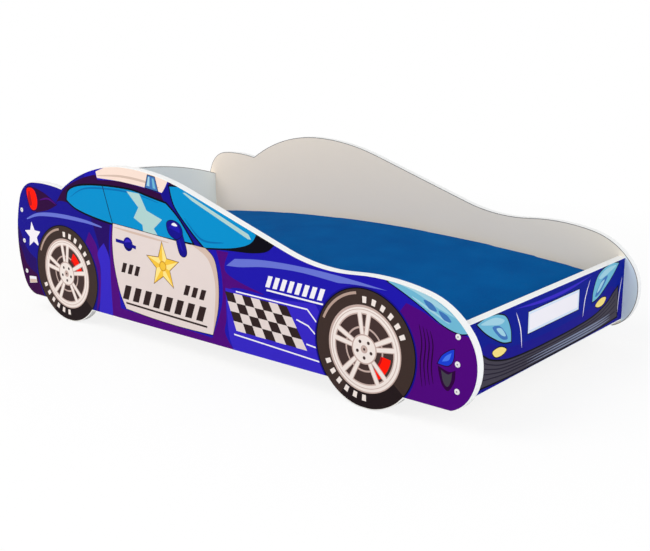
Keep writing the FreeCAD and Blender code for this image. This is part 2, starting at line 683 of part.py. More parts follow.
pieces = right_hand + left_hand + [footboard, headboard] + crossboard_strips + slats
pieces += [cover, core]

# ---------------------------------------------------------------- checks and files
doc.recompute()
for item in doc.Objects:
    if "Invalid" in item.State or "Error" in item.State:
        raise RuntimeError(f"{item.Label} could not be built: {item.State}")
for piece in pieces:
    if piece.Shape.isNull() or not piece.Shape.isValid():
        raise RuntimeError(f"{piece.Label} has no valid shape")
for piece in pieces:
    piece.Shape.exportStep(f"parts/{piece.Label}.step")
    box = piece.Shape.BoundBox
    print(f"{piece.Label:34s} {len(piece.Shape.Solids)} solids {piece.Shape.Volume / 1000:10.1f} cm3 "
          f"x {box.XMin:8.1f} {box.XMax:8.1f}  y {box.YMin:7.1f} {box.YMax:7.1f}  z {box.ZMin:6.1f} {box.ZMax:6.1f}")
print(len(pieces), "pieces")
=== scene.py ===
import math

import bmesh
import bpy
from mathutils import Matrix, Vector
from mathutils.bvhtree import BVHTree
from mathutils.geometry import delaunay_2d_cdt


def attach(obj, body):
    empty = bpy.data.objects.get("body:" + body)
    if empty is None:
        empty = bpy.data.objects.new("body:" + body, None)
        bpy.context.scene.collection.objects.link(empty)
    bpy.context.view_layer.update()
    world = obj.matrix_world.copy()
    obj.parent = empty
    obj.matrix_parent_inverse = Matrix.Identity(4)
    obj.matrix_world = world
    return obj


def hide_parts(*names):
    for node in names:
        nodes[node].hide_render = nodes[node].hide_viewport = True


# A low children's bed in the outline of a car, dressed round its construction.
# Metres, +X to the front of the car, +Y to its left side, +Z up, the floor at Z = 0.

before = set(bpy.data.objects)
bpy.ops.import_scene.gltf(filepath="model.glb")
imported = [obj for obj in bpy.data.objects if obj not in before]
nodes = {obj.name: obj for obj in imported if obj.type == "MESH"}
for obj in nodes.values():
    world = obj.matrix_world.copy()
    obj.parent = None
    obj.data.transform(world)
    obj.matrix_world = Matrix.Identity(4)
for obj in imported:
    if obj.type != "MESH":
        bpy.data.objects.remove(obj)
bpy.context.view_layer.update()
mm = 0.001
print("frame loaded")


# Colours and shader maths
def ink(red, green, blue):  # a colour as a screen shows it, 0 to 255, made linear
    def linear(level):
        share = level / 255
        return share / 12.92 if share <= 0.04045 else ((share + 0.055) / 1.055) ** 2.4
    return linear(red), linear(green), linear(blue), 1.0


class Wire:  # a node's output that sums can be written with
    def __init__(self, graph, socket):
        self.graph, self.socket = graph, socket

    def math(self, operation, *values):
        return self.graph.node("ShaderNodeMath", {"operation": operation}, values)

    def __add__(self, other):
        return self.math("ADD", self, other)

    def __sub__(self, other):
        return self.math("SUBTRACT", self, other)

    def __rsub__(self, other):
        return self.math("SUBTRACT", other, self)

    def __mul__(self, other):
        return self.math("MULTIPLY", self, other)

    def __truediv__(self, other):
        return self.math("DIVIDE", self, other)

    __radd__ = __add__
    __rmul__ = __mul__

    def clamped(self, low=0.0, high=1.0):
        return self.math("MAXIMUM", self.math("MINIMUM", self, high), low)

    def size(self):
        return self.math("ABSOLUTE", self)

    def sine(self):
        return self.math("SINE", self)


class Graph:  # a node tree and the one method that adds to it
    def __init__(self, tree):
        self.tree = tree

    def node(self, kind, settings=None, inputs=(), output=0):
        made = self.tree.nodes.new(kind)
        for setting, choice in (settings or {}).items():
            setattr(made, setting, choice)
        for place, value in (inputs.items() if isinstance(inputs, dict) else enumerate(inputs)):
            self.plug(made.inputs[place], value)
        return Wire(self, made.outputs[output])

    def plug(self, socket, value):
        if isinstance(value, Wire):
            self.tree.links.new(value.socket, socket)
        elif value is not None:
            socket.default_value = value


class Finish(Graph):  # a material with one Principled surface
    def __init__(self, name, **plain):
        self.material = bpy.data.materials.new(name)
        self.material.use_nodes = True
        super().__init__(self.material.node_tree)
        self.tree.nodes.clear()
        self.surface = self.tree.nodes.new("ShaderNodeBsdfPrincipled")
        output = self.tree.nodes.new("ShaderNodeOutputMaterial")
        self.tree.links.new(self.surface.outputs[0], output.inputs[0])
        self.place = self.node("ShaderNodeTexCoord", output="Object")
        for socket, value in plain.items():
            self.feed(socket.replace("_", " "), value)

    def feed(self, socket, value):
        self.plug(self.surface.inputs[socket], value)

    def parts(self, vector):  # its X, Y and Z
        return [self.node("ShaderNodeSeparateXYZ", {}, (vector,), output=axis) for axis in range(3)]

    def scaled(self, across, along, up):  # the place on the piece, stretched along each axis
        return self.node("ShaderNodeVectorMath", {"operation": "MULTIPLY"},
            (self.place, (across, along, up)))

    def noise(self, scale, detail, place=None, warp=0.0):
        return self.node("ShaderNodeTexNoise", {}, {"Vector": place or self.place, "Scale": scale,
            "Detail": detail, "Distortion": warp})

    def blend(self, share, first, second, way="MIX"):
        return self.node("ShaderNodeMix", {"data_type": "RGBA", "blend_type": way},
            {0: share, 6: first, 7: second}, output=2)

    def mottled(self, colour, amount, cloud):  # the colour, darker where the cloud is thick
        shade = 1 - amount * cloud
        tint = self.node("ShaderNodeCombineColor", {}, (shade, shade, shade))
        self.feed("Base Color", self.blend(1.0, colour, tint, "MULTIPLY"))

    def relief(self, height, depth, strength):
        bump = self.node("ShaderNodeBump", {}, {"Strength": strength, "Distance": depth, "Height": height})
        self.feed("Normal", bump)

    def grainy(self, grain, thin, full, shine, smear, depth, strength):  # one grain in all that it shows
        self.feed("Base Color", self.blend(grain, thin, full))
        self.feed("Roughness", shine + smear * grain)
        self.relief(grain, depth, strength)
        return self.material


# Finishes
def laminateFinish(name, rear, front, coolLitNose):
    # white board with painted light on it: a painted warm light towards the rear that fades along the bed,
    # and a painted cool reflected light past the footboard
    look = {"mottle": 0.025, "pearlSize": 900, "pearlDepth": 0.00006, "shine": 0.36, "smear": 0.1,
        "length": 1.4, "coolLightFrom": 0.717, "coolLightEdge": 400}
    finish = Finish(name)
    along = finish.parts(finish.place)[0]
    # painted warm light, strongest at the rear and fading towards the front
    colour = finish.blend((0.5 + along / look["length"]).clamped(), rear, front)
    # painted cool reflected light on the board past the footboard
    colour = finish.blend(((along - look["coolLightFrom"]) * look["coolLightEdge"]).clamped(), colour, coolLitNose)
    finish.mottled(colour, look["mottle"], finish.noise(7, 3))
    finish.feed("Roughness", look["shine"] + look["smear"] * finish.noise(60, 3))
    finish.relief(finish.noise(look["pearlSize"], 2), look["pearlDepth"], 0.5)
    return finish.material


def stripFinish():
    look = {"colour": ink(236, 237, 237), "innerSideGrey": ink(122, 118, 112), "worn": ink(146, 142, 136),
        "innerSideShare": 0.9, "shine": 0.3, "smear": 0.12, "mottle": 0.03, "grainSize": 500,
        "grainDepth": 0.00004, "wearHeight": 0.03, "wear": 0.5, "boardsWithin": 0.3547}
    finish = Finish("edgeStripPlastic")
    scuff = finish.noise(30, 3, finish.scaled(1, 14, 1))
    along, across, height = finish.parts(finish.place)
    facingAlong, facingAcross, _ = finish.parts(finish.node("ShaderNodeNewGeometry", output="Normal"))
    board = ((look["boardsWithin"] - across.size()) * 2000).clamped()  # the strips between the two panels
    inner = (0 - (across * 20).clamped(-1, 1) * facingAcross).clamped() * (1 - board)
    inner += (0 - (along * 20).clamped(-1, 1) * facingAlong).clamped() * board
    # darker grey on the sides of the strips that face the inside of the bed
    plain = finish.blend(inner * look["innerSideShare"], look["colour"], look["innerSideGrey"])
    # wear where the wheels stand
    trodden = (1 - height / look["wearHeight"]).clamped() * finish.noise(45, 4)
    plain = finish.blend(trodden * look["wear"], plain, look["worn"])
    finish.mottled(plain, look["mottle"], scuff)
    finish.feed("Roughness", look["shine"] + look["smear"] * scuff)
    finish.relief(finish.noise(look["grainSize"], 2), look["grainDepth"], 0.4)
    return finish.material


def capFinish():
    look = {"colour": ink(228, 229, 231), "hollow": ink(150, 148, 152), "shine": 0.32, "smear": 0.12,
        "mottle": 0.06, "grainSize": 900, "grainDepth": 0.00003}
    finish = Finish("capPlastic")
    hollow = finish.node("ShaderNodeAttribute", {"attribute_name": "hollow"}, output="Fac")
    cloud = finish.noise(220, 2)
    plain = finish.blend(hollow, look["colour"], look["hollow"])
    finish.feed("Base Color", finish.blend(look["mottle"] * cloud, plain, (0, 0, 0, 1)))
    finish.feed("Roughness", look["shine"] + look["smear"] * cloud)
    finish.relief(finish.noise(look["grainSize"], 2), look["grainDepth"], 0.4)
    return finish.material


def printFinish():
    look = {"shine": 0.42, "smear": 0.08, "peelSize": 160, "peelDepth": 0.00004, "mottle": 0.05}
    finish = Finish("printedFilm", Specular_IOR_Level=0.03)
    printed = finish.node("ShaderNodeAttribute", {"attribute_name": "printInk"})
    finish.mottled(printed, look["mottle"], finish.noise(3, 2))
    finish.feed("Roughness", look["shine"] + look["smear"] * finish.noise(40, 3))
    finish.relief(finish.noise(look["peelSize"], 2), look["peelDepth"], 0.35)
    return finish.material


def woodFinish(name, pale, dark, grainAlong):
    look = {"ringSize": 62, "rings": 2.6, "fibreSize": 420, "fibres": 0.9, "fibreDepth": 0.00012,
        "driftSize": 5, "drift": 0.8, "stretch": 0.06, "shine": 0.5, "rough": 0.2}
    finish = Finish(name)
    stretch = [1.0, 1.0, 1.0]
    stretch[grainAlong] = look["stretch"]
    grain = finish.scaled(*stretch)
    rings = finish.noise(look["ringSize"], 5, grain, 0.6)
    fibre = finish.noise(look["fibreSize"], 3, grain)
    drift = finish.noise(look["driftSize"], 1)
    tone = 0.5 + (rings - 0.5) * look["rings"] + (fibre - 0.5) * look["fibres"]
    tone += (drift - 0.5) * look["drift"]
    finish.feed("Base Color", finish.blend(tone.clamped(), pale, dark))
    finish.feed("Roughness", look["shine"] + look["rough"] * fibre)
    finish.relief(fibre, look["fibreDepth"], 0.5)
    return finish.material


def wovenFinish(name, thin, full, threads, depth, tuft):
    # a plain weave: two sets of threads that pass over each other in turn
    look = {"weave": 0.22, "fluff": 0.5, "clouds": 0.7, "rough": 0.82, "roughFluff": 0.12}
    finish = Finish(name, Specular_IOR_Level=0.02)
    along, across, height = finish.parts(finish.place)
    pitch = 2 * math.pi * threads
    weave = ((along + height) * pitch).sine() * ((across + height) * pitch).sine()
    fluff = finish.noise(tuft, 4)
    cloud = finish.noise(9, 3)
    tone = 0.5 + look["weave"] * weave + look["fluff"] * (fluff - 0.5) + look["clouds"] * (cloud - 0.5)
    finish.feed("Base Color", finish.blend(tone.clamped(), thin, full))
    finish.feed("Roughness", look["rough"] + look["roughFluff"] * fluff)
    finish.relief(weave * 0.5 + fluff, depth, 0.6)
    return finish.material


def steelFinish():
    finish = Finish("zincPlatedSteel", Metallic=1.0)
    look = {"shine": 0.28, "smear": 0.2, "depth": 0.00003, "strength": 0.4}
    return finish.grainy(finish.noise(700, 3), ink(182, 182, 176), ink(214, 214, 210), **look)


def foamFinish():
    finish = Finish("paleFoam")
    look = {"shine": 0.85, "smear": 0.1, "depth": 0.0003, "strength": 0.6}
    cells = finish.node("ShaderNodeTexVoronoi", {}, {"Vector": finish.place, "Scale": 500})
    return finish.grainy(cells, ink(226, 214, 170), ink(240, 232, 200), **look)


finishes = {
    # the panels' white board: a painted warm light at the rear, a plainer white at the front and a painted
    # cool reflected light past the footboard
    "panelLaminate": laminateFinish(
        "panelLaminate", ink(249, 236, 220), ink(238, 231, 217), ink(224, 239, 246)),
    # the same white board, painted cooler and lighter to stand in for the light on the headboard and
    # footboard
    "boardLaminate": laminateFinish(
        "boardLaminate", ink(241, 246, 240), ink(238, 240, 240), ink(238, 240, 240)),
    "strip": stripFinish(),
    "print": printFinish(),
    "cap": capFinish(),
    "steel": steelFinish(),
    "rail": woodFinish("planedPine", ink(226, 196, 150), ink(190, 146, 92), 0),
    "slat": woodFinish("planedBirch", ink(232, 208, 168), ink(206, 168, 118), 1),
    "webbing": wovenFinish("wovenTape", ink(214, 208, 196), ink(238, 234, 224), 600, 0.0003, 400),
    "cover": wovenFinish("mattressCotton", ink(0, 62, 126), ink(2, 98, 166), 480, 0.00035, 260),
    "piping": wovenFinish("pipingCotton", ink(0, 56, 118), ink(2, 86, 152), 700, 0.0002, 400),
    "thread": wovenFinish("sewingThread", ink(10, 84, 150), ink(40, 130, 200), 1500, 0.0001, 900),
    "foam": foamFinish(),
}

nodeFinishes = {
    "side_panel": "panelLaminate", "headboard": "boardLaminate", "footboard": "boardLaminate",
    "edge_strip": "strip", "panel_screws": "steel", "screw_caps": "cap", "support_rail": "rail",
    "slat": "slat", "webbing": "webbing", "mattress_core": "foam", "mattress_cover": "cover",
}
for nodeName, piece in nodes.items():
    chosen = next(nodeFinishes[start] for start in nodeFinishes if nodeName.startswith(start))
    for slot in piece.material_slots:
        slot.material = finishes[chosen]
print("finishes on the construction")


# Flat shapes
def turned(loop):  # the loop counter-clockwise
    area = sum(a[0] * b[1] - b[0] * a[1] for a, b in zip(loop, loop[1:] + loop[:1]))
    return loop if area > 0 else loop[::-1]


def spun(x, z, radius, turn):  # the point at some distance from a centre, the turn in radians
    return x + radius * math.cos(turn), z + radius * math.sin(turn)


def disc(x, z, radius, step=3.0):
    count = max(20, int(2 * math.pi * radius / step))
    return [spun(x, z, radius, 2 * math.pi * index / count) for index in range(count)]


def sector(x, z, inner, outer, start, end, step=3.0):  # a piece of a ring, in degrees
    count = max(4, int(math.radians(end - start) * outer / step))
    turns = [math.radians(start + (end - start) * index / count) for index in range(count + 1)]
    far = [spun(x, z, outer, turn) for turn in turns]
    return far + [spun(x, z, inner, turn) for turn in reversed(turns)]


def smooth(points, closed=True, steps=8):
    # a curve through the points. A third value of 1 keeps a point as a sharp corner
    count = len(points)
    spans = count if closed else count - 1
    curve = []
    for index in range(spans):
        start, end = points[index], points[(index + 1) % count]
        before = points[index - 1] if closed or index else start
        after = points[(index + 2) % count] if closed or index + 2 < count else end
        before = start if len(start) > 2 else before
        after = end if len(end) > 2 else after
        for step in range(steps):
            t = step / steps
            weights = (-0.5 * t ** 3 + t ** 2 - 0.5 * t, 1.5 * t ** 3 - 2.5 * t ** 2 + 1,
                -1.5 * t ** 3 + 2 * t ** 2 + 0.5 * t, 0.5 * t ** 3 - 0.5 * t ** 2)
            corners = (before, start, end, after)
            curve.append(tuple(sum(w * c[axis] for w, c in zip(weights, corners)) for axis in (0, 1)))
    return curve if closed else curve + [tuple(points[-1][:2])]


def moved(loop, distance):  # a closed loop moved outwards, or inwards where the distance is below zero
    loop = turned([point for point, after in zip(loop, loop[1:] + loop[:1])
        if math.dist(point, after) > 1e-4])
    shifted = []
    for index, point in enumerate(loop):
        before, after = Vector(loop[index - 1]), Vector(loop[(index + 1) % len(loop)])
        first, second = (Vector(point) - before).normalized(), (after - Vector(point)).normalized()
        way = Vector((first.y + second.y, -first.x - second.x))
        way = way.normalized() if way.length > 1e-6 else Vector((first.y, -first.x))
        stretch = 1 / max(0.5, way.dot(Vector((first.y, -first.x))))
        shifted.append(tuple(Vector(point) + way * distance * stretch))
    return shifted


def stroke(points, width, taper):  # a line of some width, whose ends may run thin
    path = smooth(points, closed=False)
    sides = []
    for index, point in enumerate(path):
        way = Vector(path[min(index + 1, len(path) - 1)]) - Vector(path[max(index - 1, 0)])
        square = Vector((-way.y, way.x)).normalized()
        share = index / (len(path) - 1)
        half = width / 2 * (1 - taper * (2 * share - 1) ** 2)
        sides.append((Vector(point) + square * half, Vector(point) - square * half))
    return [tuple(left) for left, _ in sides] + [tuple(right) for _, right in reversed(sides)]


def star(x, z, radius, waist=0.42, lean=0.0):
    return [spun(x, z, radius * waist if index % 2 else radius, math.radians(90 + lean + 36 * index))
        for index in range(10)]


class Picture:  # shapes in millimetres on one printed face, each painted over those before it
    def __init__(self, outline, ground):
        self.shapes = [(ground, turned(outline))]

    def paint(self, colour, loop):  # the colour "hole" cuts the film away
        self.shapes.append((colour, turned(loop)))

    def patch(self, colour, *points):  # a smooth shape through the points
        self.paint(colour, smooth(points))

    def line(self, colour, width, taper, *points):  # a line through the points
        self.paint(colour, stroke(points, width, taper))

    def edged(self, colour, edge, width, loop):  # a shape with a line of another colour round it
        self.paint(edge, moved(loop, width))
        self.paint(colour, loop)

    def edgedPatch(self, colour, edge, width, *points):
        self.edged(colour, edge, width, smooth(points))

    def film(self, name, place):
        # one thin film, cut where the shapes meet, with each shape's ink on its faces
        corners, faces = [], []
        for _, loop in self.shapes:
            faces.append(list(range(len(corners), len(corners) + len(loop))))
            corners += [Vector(point) for point in loop]
        points, _, triangles, _, _, sources = delaunay_2d_cdt(corners, [], faces, 1, 0.01)
        kept = [(triangle, self.shapes[max(source)][0]) for triangle, source in zip(triangles, sources)
            if 0 in source and self.shapes[max(source)][0] != "hole"]
        held = sorted({corner for triangle, _ in kept for corner in triangle})
        used = {corner: index for index, corner in enumerate(held)}
        mesh = bpy.data.meshes.new(name)
        mesh.from_pydata([place(*points[corner]) for corner in used], [],
            [[used[corner] for corner in triangle] for triangle, _ in kept])
        layer = mesh.color_attributes.new("printInk", "FLOAT_COLOR", "CORNER")
        colours = [value for triangle, colour in kept for _ in triangle for value in inks[colour]]
        layer.data.foreach_set("color", colours)
        return meshPiece(name, mesh, "print")


def faced(mesh, finish):
    mesh.materials.clear()
    mesh.materials.append(finishes[finish])


def rounded(mesh):
    for polygon in mesh.polygons:
        polygon.use_smooth = True


def meshPiece(name, mesh, finish):
    faced(mesh, finish)
    piece = bpy.data.objects.new(name, mesh)
    bpy.context.collection.objects.link(piece)
    return piece


def evaluated(piece):  # a plain mesh of the piece with its modifiers applied
    depsgraph = bpy.context.evaluated_depsgraph_get()
    return bpy.data.meshes.new_from_object(piece.evaluated_get(depsgraph))


def applied(piece):  # the piece with its modifiers made part of its mesh
    piece.data = evaluated(piece)
    piece.modifiers.clear()
    return piece.data


def skin(name, rings):  # a closed mesh over rings of points, each end a point or a flat cap
    shell = bmesh.new()
    rows = [[shell.verts.new(point) for point in ring] for ring in rings]
    for first, second in zip(rows, rows[1:]):
        for step in range(max(len(first), len(second))):
            corners = [first[step % len(first)], first[(step + 1) % len(first)],
                second[(step + 1) % len(second)], second[step % len(second)]]
            shell.faces.new(list(dict.fromkeys(corners)))
    for row in (rows[0], rows[-1]):
        if len(row) > 2:
            shell.faces.new(row)
    bmesh.ops.recalc_face_normals(shell, faces=shell.faces)
    mesh = bpy.data.meshes.new(name)
    shell.to_mesh(mesh)
    shell.free()
    return mesh


def pathCurve(name, points, closed):
    curve = bpy.data.curves.new(name, "CURVE")
    curve.dimensions = "3D"
    spline = curve.splines.new("POLY")
    spline.points.add(len(points) - 1)
    for spot, point in zip(spline.points, points):
        spot.co = (*point, 1)
    spline.use_cyclic_u = closed
    return bpy.data.objects.new(name, curve)


def faceOutline(node, axis, level):
    # the outer edge of a construction face that is square to an axis, in millimetres
    mesh = nodes[node].data
    across = [other for other in range(3) if other != axis]
    uses = {}
    for face in mesh.polygons:
        spots = [mesh.vertices[index].co for index in face.vertices]
        if max(abs(spot[axis] - level) for spot in spots) > 1e-5:
            continue
        keys = [tuple(round(spot[other] * 1000, 2) for other in across) for spot in spots]
        for start, end in zip(keys, keys[1:] + keys[:1]):
            uses[(start, end)] = uses.get((start, end), 0) + 1
    ahead = {start: end for start, end in uses if (end, start) not in uses}
    loops = []
    while ahead:
        loop = [next(iter(ahead))]
        while loop[-1] in ahead:
            loop.append(ahead.pop(loop[-1]))
        loops.append(loop[:-1])
    return max(loops, key=lambda loop: max(p[0] for p in loop) - min(p[0] for p in loop))


# The print on the side panels, in millimetres on their outer faces
inks = {
    "body": ink(28, 20, 166), "bodyLight": ink(52, 37, 190), "bodyDark": ink(18, 12, 134),
    "violet": ink(76, 2, 120), "plum": ink(52, 0, 64), "maroon": ink(44, 0, 58), "dusk": ink(34, 4, 96),
    "rearBlue": ink(22, 15, 138), "gloss": ink(100, 112, 204),
    "glass": ink(0, 139, 199), "glassDeep": ink(0, 108, 172), "glare": ink(170, 204, 202),
    "line": ink(6, 4, 16), "cream": ink(221, 208, 204), "creamShade": ink(206, 182, 168),
    "roofCream": ink(238, 216, 203),
    "tyre": ink(60, 46, 42), "tyreShade": ink(34, 24, 26), "tyreLight": ink(176, 150, 138),
    "rim": ink(234, 223, 217), "rimShade": ink(190, 166, 158), "rimGap": ink(66, 50, 48),
    "red": ink(254, 22, 2), "redShade": ink(178, 14, 22),
    "gold": ink(238, 192, 62), "goldShade": ink(204, 148, 40), "goldLight": ink(250, 224, 136),
    "lamp": ink(108, 178, 206), "lampLight": ink(156, 202, 218), "lampDeep": ink(62, 112, 178),
    "white": ink(236, 233, 240), "check": ink(46, 32, 32), "plate": ink(208, 222, 240),
    "leaf": ink(24, 60, 204), "leafLight": ink(70, 116, 232), "footBlue": ink(0, 20, 138),
    "grille": ink(64, 60, 72), "grilleLine": ink(34, 30, 46), "grilleShine": ink(122, 130, 154),
    "fog": ink(240, 216, 128),
}
panelSide, footFace = 373.0, 719.5
capSpots = {"front": (710.5, (93, 149.5, 206)), "rear": (-726.5, (111, 198, 285))}


def paintGlass(art):
    side = [(-516, 337, 1), (-506, 361), (-468, 377), (-405, 386), (-320, 390), (-245, 389), (-186, 380),
        (-124, 371, 1), (-80, 338), (-36, 287, 1), (-120, 288), (-236, 292), (-330, 297), (-420, 307),
        (-482, 320)]
    screen = [(-108, 414, 1), (-68, 417, 1), (-2, 395), (90, 370), (176, 334, 1), (150, 310), (92, 293),
        (5, 282, 1), (-40, 317), (-92, 368)]
    art.patch("maroon", (-566, 322, 1), (-520, 368), (-448, 400), (-388, 416, 1), (-380, 403, 1),
        (-290, 408), (-190, 400), (-128, 392, 1), (-112, 424, 1), (-84, 426, 1), (-112, 404, 1), (-84, 360),
        (-20, 282, 1), (-300, 300), (-520, 330))
    art.patch("roofCream", (-386, 424, 1), (-340, 440), (-286, 452, 1), (-180, 452, 1), (-112, 428, 1),
        (-134, 396, 1), (-190, 402), (-290, 408), (-382, 408, 1))
    art.line("creamShade", 6, 0.7, (-380, 414), (-290, 421), (-200, 417), (-146, 407))
    # a roof lamp
    art.edged("lampDeep", "line", 2, [(-196, 403), (-150, 398), (-160, 431), (-185, 434)])
    art.paint("lampLight", [(-190, 408), (-180, 407), (-178, 430), (-183, 431)])
    art.paint("lamp", [(-168, 404), (-158, 403), (-164, 427), (-170, 428)])
    art.patch("bodyDark", (-140, 392, 1), (-110, 424, 1), (-98, 392), (-82, 360), (-28, 310), (14, 280, 1),
        (-44, 280, 1), (-84, 336), (-126, 372))
    art.edgedPatch("glass", "line", 5, *side)
    art.line("glassDeep", 5, 0.8, (-500, 346), (-440, 374), (-340, 384), (-240, 383), (-150, 370))
    art.paint("glare", [(-268, 386), (-220, 385), (-196, 346), (-140, 330), (-172, 304), (-160, 290),
        (-212, 291), (-214, 308), (-246, 322), (-226, 350)])
    art.line("line", 2.6, 0, (-362, 389), (-346, 340), (-331, 296))
    art.edgedPatch("glass", "line", 4, *screen)
    art.line("glassDeep", 5, 0.8, (-60, 344), (-4, 300), (70, 302))
    art.paint("glare", [(-62, 404), (-54, 405), (150, 333), (158, 322), (148, 322), (-30, 388)])
    art.patch("line", (176, 338, 1), (230, 320, 1), (205, 301), (160, 291), (100, 287), (40, 284, 1),
        (96, 292), (152, 309))


def paintDashes(art, colour, start, end, count, height, share=0.6):  # a row of plain slanted dashes
    pitch, lean = (end[0] - start[0]) / count, 0.4 * height
    for index in range(count):
        x = start[0] + pitch * index
        z = start[1] + (end[1] - start[1]) * index / count
        art.paint(colour, [(x, z), (x + share * pitch, z), (x + share * pitch + lean, z + height),
            (x + lean, z + height)])


def paintDoor(art):
    door = [(-329, 297, 1), (-230, 292), (-90, 284), (8, 281, 1), (36, 258), (47, 205), (43, 140),
        (22, 72, 1), (-95, 70), (-205, 73), (-296, 79, 1), (-318, 122), (-334, 190), (-336, 250)]
    art.edgedPatch("cream", "line", 1.6, *door)
    art.patch("creamShade", (-40, 283, 1), (8, 281, 1), (36, 258), (47, 205), (43, 140), (22, 72, 1),
        (31, 130), (36, 200), (14, 256))
    art.line("creamShade", 6, 0.8, (-327, 288), (-230, 282), (-120, 276))
    art.line("bodyDark", 9, 0, (-322, 255), (-284, 252), (-244, 246))  # the handle
    art.paint("bodyDark", disc(-274, 251, 18))
    art.patch("bodyLight", (-288, 254), (-276, 264), (-262, 258), (-274, 256))
    art.line("line", 3, 0.8, (-292, 245), (-274, 238), (-258, 243))
    paintDashes(art, "check", (-308, 174), (-232, 172), 3, 26)
    paintDashes(art, "check", (-76, 154), (6, 151), 3, 26)
    paintDashes(art, "check", (-308, 104), (4, 97), 8, 38)
    art.paint("check", [(-296, 97), (4, 90), (3, 85), (-295, 92)])
    heart = (-146, 214)
    art.edged("goldShade", "line", 1.2, star(*heart, 61))
    points = star(*heart, 58)
    # a star in ten plain facets
    for index, (first, second) in enumerate(zip(points, points[1:] + points[:1])):
        art.paint("goldLight" if index % 2 else "gold", [heart, first, second])
    art.paint("goldShade", disc(*heart, 13))
    art.paint("gold", disc(*heart, 10))


def paintMirror(art):
    art.edgedPatch("bodyDark", "line", 1.6, (-96, 302, 1), (-84, 258), (-68, 249), (-57, 262),
        (-70, 304, 1))
    art.edgedPatch("bodyDark", "line", 1.6, (-124, 324), (-104, 333), (-78, 325), (-70, 304), (-92, 289),
        (-118, 300))
    art.patch("body", (-117, 314), (-100, 324), (-82, 318), (-80, 306), (-98, 310))
    art.patch("white", (-107, 323), (-97, 328), (-86, 322), (-97, 320))
    art.line("body", 5, 0.7, (-82, 290), (-76, 272), (-70, 262))


def paintRear(art):
    art.patch("rearBlue", (-790, 470, 1), (-420, 470, 1), (-450, 330, 1), (-380, 300, 1), (-352, 240),
        (-356, 120), (-360, 0, 1), (-790, 0, 1))
    art.patch("dusk", (-790, 300, 1), (-744, 226), (-716, 176), (-668, 150), (-600, 130, 1), (-600, 0, 1),
        (-790, 0, 1))
    art.patch("plum", (-790, 240, 1), (-748, 180), (-720, 130), (-664, 104), (-600, 90, 1), (-600, 0, 1),
        (-790, 0, 1))
    art.patch("dusk", (-420, 300, 1), (-396, 240), (-380, 180), (-352, 140, 1), (-352, 230), (-340, 300, 1))
    art.patch("maroon", (-664, 356, 1), (-610, 342), (-560, 318, 1), (-606, 298), (-660, 286, 1))
    art.line("violet", 5, 0.8, (-640, 322), (-600, 330), (-566, 318))
    art.edgedPatch("red", "maroon", 4, (-696, 344), (-676, 352), (-658, 344), (-650, 320), (-656, 298),
        (-674, 291), (-688, 304))
    art.patch("redShade", (-688, 304), (-692, 326), (-684, 344), (-678, 326), (-676, 304))
    art.line("gloss", 11, 0.75, (-706, 262), (-650, 281), (-560, 289), (-450, 288), (-376, 281))
    art.paint("white", star(-683, 219, 38, 0.46, 4))
    art.paint("white", [(-716, 98), (-684, 101), (-682, 84), (-716, 78)])
    art.paint("creamShade", [(-714, 90), (-684, 93), (-683, 84), (-715, 79)])
    art.patch("violet", (-452, 226, 1), (-430, 262, 1), (-402, 226), (-394, 170), (-400, 90), (-424, 40, 1),
        (-404, 120), (-412, 180))


def paintFlank(art):
    art.patch("bodyLight", (-410, 44, 1), (-398, 110), (-392, 170), (-400, 210), (-372, 240, 1),
        (-352, 200), (-350, 120), (-350, 36, 1))
    art.patch("violet", (-352, 30, 1), (-352, 150), (-344, 250), (-332, 300, 1), (-330, 250), (-318, 76, 1),
        (20, 64, 1), (56, 150), (60, 220), (44, 282, 1), (84, 282, 1), (76, 232), (196, 200, 1), (84, 196),
        (70, 120), (66, 80), (110, 30, 1))
    art.patch("bodyLight", (70, 196, 1), (200, 196), (346, 206, 1), (372, 160), (384, 90), (386, 30, 1),
        (106, 30, 1), (78, 80))
    art.patch("gloss", (76, 250, 1), (104, 270, 1), (190, 280), (300, 283), (420, 279), (538, 269, 1),
        (460, 268), (410, 264, 1), (300, 270), (200, 265), (120, 253))
    near, far, low, lowFar = (68, 188), (262, 186), (102, 98), (320, 95)
    art.paint("cream", [near, far, lowFar, low])

    def spot(across, down):  # a place in the chequered band
        top = [near[axis] + (far[axis] - near[axis]) * across / 7 for axis in (0, 1)]
        foot = [low[axis] + (lowFar[axis] - low[axis]) * across / 7 for axis in (0, 1)]
        return tuple(top[axis] + (foot[axis] - top[axis]) * down / 4 for axis in (0, 1))

    for column in range(7):
        for row in range(4):
            if (column + row) % 2 == 0:
                art.paint("check", [spot(column, row), spot(column + 1, row), spot(column + 1, row + 1),
                    spot(column, row + 1)])
    for points in ([(104, 193, 1), (322, 190, 1), (349, 165)], [(290, 161, 1), (324, 153, 1), (354, 130)],
            [(318, 110, 1), (354, 107)], [(94, 88, 1), (360, 77)]):
        art.line("white", 3.4, 0, *points)
    paintDashes(art, "white", (198, 220), (372, 216), 8, 27)
    art.paint("white", [(202, 215), (372, 211), (371, 207), (201, 211)])


